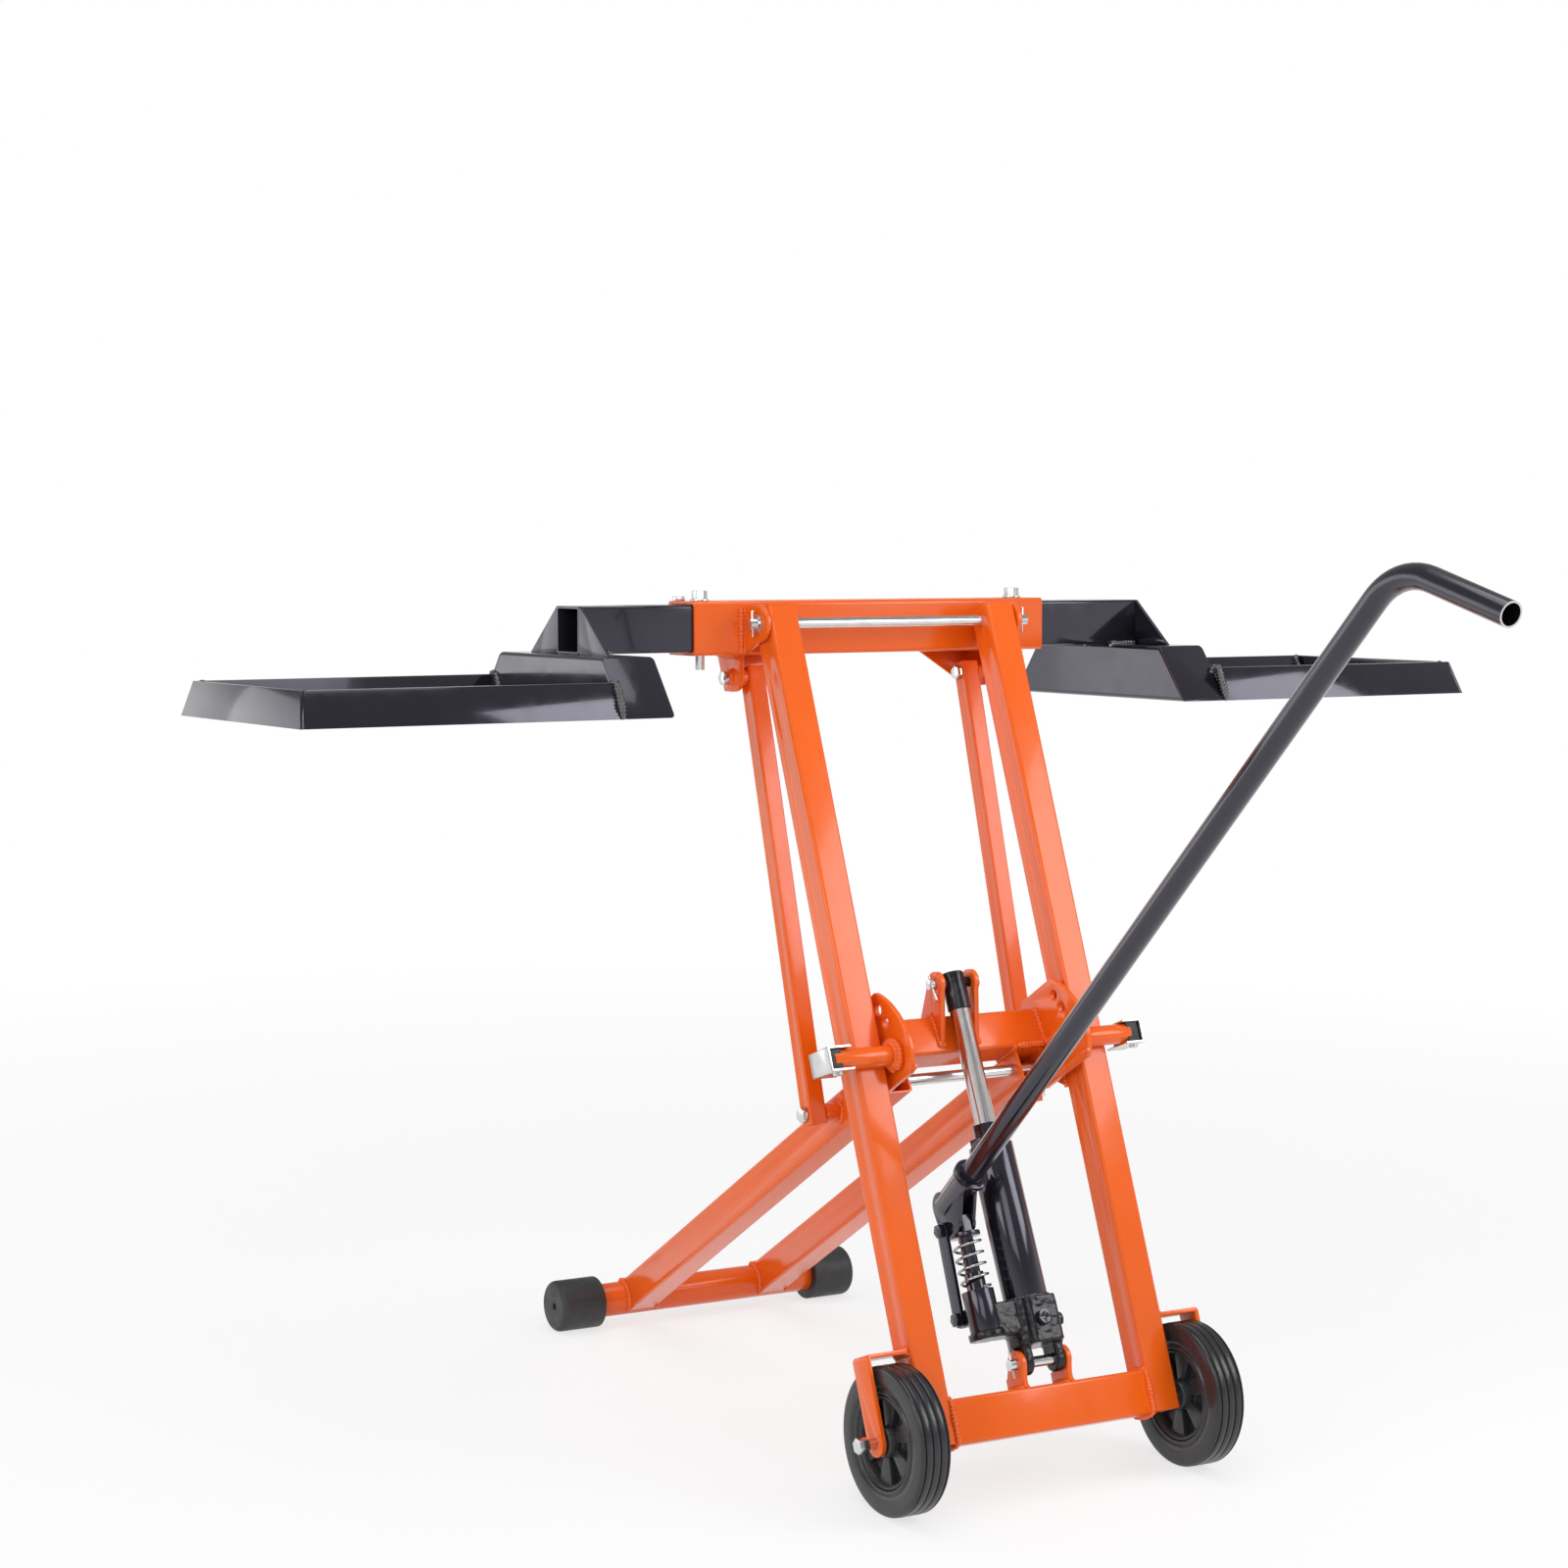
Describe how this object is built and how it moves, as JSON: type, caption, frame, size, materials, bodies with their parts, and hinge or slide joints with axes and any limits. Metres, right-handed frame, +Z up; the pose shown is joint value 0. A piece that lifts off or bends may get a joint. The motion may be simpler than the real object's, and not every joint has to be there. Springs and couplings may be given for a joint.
{
  "type": "lawn mower lift",
  "caption": "Folding lift for ride-on mowers: crossed arms and legs on wheels and a foot bar, a bottle jack with a long handle, and open wheel pans on a carrier tube.",
  "frame": {"origin": "on the floor, in the middle of the lift's length and width", "axes": "+X from the foot bar towards the wheels and the pump handle's end, +Y across the lift along the carrier tube, +Z up"},
  "size_m": [1.5282, 1.569, 1.0607],
  "materials": {
    "orange_paint": "gloss powder coat",
    "black_paint": "satin powder coat",
    "zinc": "bright zinc plate",
    "polished_steel": "polished",
    "spring_steel": "bright wire",
    "black_rubber": "matt",
    "tyre_rubber": "matt moulded",
    "hub_plastic": "matt"
  },
  "bodies": {
    "leg_frame": {"foot_bar": "orange_paint", "foot_caps": "black_rubber", "left_leg": "orange_paint", "right_leg": "orange_paint", "mid_cross_tube": "orange_paint", "ram_ears": "orange_paint", "left_sector_plate": "orange_paint", "right_sector_plate": "orange_paint", "middle_rod": "zinc", "link_bosses": "orange_paint", "link_lower_bolts": "zinc", "ram_pin_ends": "zinc"},
    "main_arm": {"left_arm": "orange_paint", "right_arm": "orange_paint", "lower_cross_tube": "orange_paint", "jack_ears": "orange_paint", "pivot_lugs": "orange_paint", "wheel_straps": "orange_paint", "wheel_axles": "zinc", "jack_pin": "zinc", "lock_tubes": "orange_paint", "lock_channels": "zinc", "lock_blocks": "black_rubber"},
    "left_wheel": {"left_tyre": "tyre_rubber", "left_hub": "hub_plastic"},
    "right_wheel": {"right_tyre": "tyre_rubber", "right_hub": "hub_plastic"},
    "carrier": {"carrier_tube": "orange_paint", "carrier_ears": "orange_paint", "link_lugs": "orange_paint", "link_upper_bolts": "zinc", "top_rod": "zinc", "pan_lock_bolts": "zinc", "carrier_end_screws": "zinc"},
    "left_link": {"left_link": "orange_paint", "left_link_pin": "zinc"},
    "right_link": {"right_link": "orange_paint", "right_link_pin": "zinc"},
    "left_pan": {"left_pan_tube": "black_paint", "left_pan_box": "black_paint", "left_pan_rails": "black_paint", "left_pan_end_wall": "black_paint", "left_pan_gussets": "black_paint"},
    "right_pan": {"right_pan_tube": "black_paint", "right_pan_box": "black_paint", "right_pan_rails": "black_paint", "right_pan_end_wall": "black_paint", "right_pan_gussets": "black_paint"},
    "jack_body": {"jack_base": "black_paint", "jack_reservoir": "black_paint", "jack_gland": "black_paint", "pump_cylinder": "black_paint", "fulcrum_links": "black_paint", "filler_plug": "black_rubber", "pump_spring": "spring_steel"},
    "jack_ram": {"jack_ram": "polished_steel"},
    "pump_plunger": {"pump_plunger": "zinc"},
    "pump_socket": {"handle_socket": "black_paint"},
    "pump_handle": {"pump_handle": "black_paint"},
    "release_valve": {"release_valve": "zinc"}
  },
  "joints": [
    {"name": "fold", "type": "hinge", "parent": "leg_frame", "child": "main_arm", "pos_m": [-0.16386, 0, 0.42345], "axis": [0, -1, 0], "range_deg": [0, 92]},
    {"name": "carrier_tilt", "type": "hinge", "parent": "main_arm", "child": "carrier", "pos_m": [-0.34096, 0, 0.92694], "axis": [0, -1, 0], "range_deg": [-69, 0]},
    {"name": "left_link_swing", "type": "hinge", "parent": "leg_frame", "child": "left_link", "pos_m": [-0.22933, -0.149, 0.37835], "axis": [0, -1, 0], "range_deg": [0, 98.5]},
    {"name": "right_link_swing", "type": "hinge", "parent": "leg_frame", "child": "right_link", "pos_m": [-0.22933, 0.149, 0.37835], "axis": [0, -1, 0], "range_deg": [0, 98.5]},
    {"name": "jack_lean", "type": "hinge", "parent": "main_arm", "child": "jack_body", "pos_m": [0.01974, 0, 0.13892], "axis": [0, -1, 0], "range_deg": [-12, 0]},
    {"name": "ram_slide", "type": "slide", "parent": "jack_body", "child": "jack_ram", "axis": [-0.4503, 0, 0.8929], "range_m": [-0.133, 0]},
    {"name": "left_wheel_spin", "type": "hinge", "parent": "main_arm", "child": "left_wheel", "pos_m": [0.03568, -0.196, 0.081], "axis": [0, 1, 0], "continuous": true},
    {"name": "right_wheel_spin", "type": "hinge", "parent": "main_arm", "child": "right_wheel", "pos_m": [0.03568, 0.196, 0.081], "axis": [0, 1, 0], "continuous": true},
    {"name": "left_pan_slide", "type": "slide", "parent": "carrier", "child": "left_pan", "axis": [0, -1, 0], "range_m": [-0.09, 0.06]},
    {"name": "right_pan_slide", "type": "slide", "parent": "carrier", "child": "right_pan", "axis": [0, 1, 0], "range_m": [-0.09, 0.06]},
    {"name": "pump_lever", "type": "hinge", "parent": "jack_body", "child": "pump_socket", "pos_m": [-0.07196, -0.06, 0.27187], "axis": [0, 1, 0], "range_deg": [0, 35], "stiffness_Nm_per_rad": 4, "springref_deg": -100.27},
    {"name": "plunger_slide", "type": "slide", "parent": "jack_body", "child": "pump_plunger", "axis": [-0.4503, 0, 0.8929], "range_m": [-0.0135, 0], "deforming": ["pump_spring"]},
    {"name": "handle_pull", "type": "slide", "parent": "pump_socket", "child": "pump_handle", "axis": [0.6743, 0, 0.7385], "range_m": [0, 0.08]},
    {"name": "release_turn", "type": "hinge", "parent": "jack_body", "child": "release_valve", "pos_m": [0.03252, -0.004, 0.19353], "axis": [0.8929, 0, 0.4503], "range_deg": [0, 270]}
  ],
  "couplings": [
    {"joint": "carrier_tilt", "follows": "fold", "ratio": -0.7473},
    {"joint": "left_link_swing", "follows": "fold", "ratio": 1.0686},
    {"joint": "right_link_swing", "follows": "fold", "ratio": 1.0686},
    {"joint": "jack_lean", "follows": "fold", "ratio": -0.12933},
    {"joint": "ram_slide", "follows": "fold", "m_per_rad": -0.08252},
    {"joint": "plunger_slide", "follows": "pump_lever", "m_per_rad": -0.021545}
  ]
}
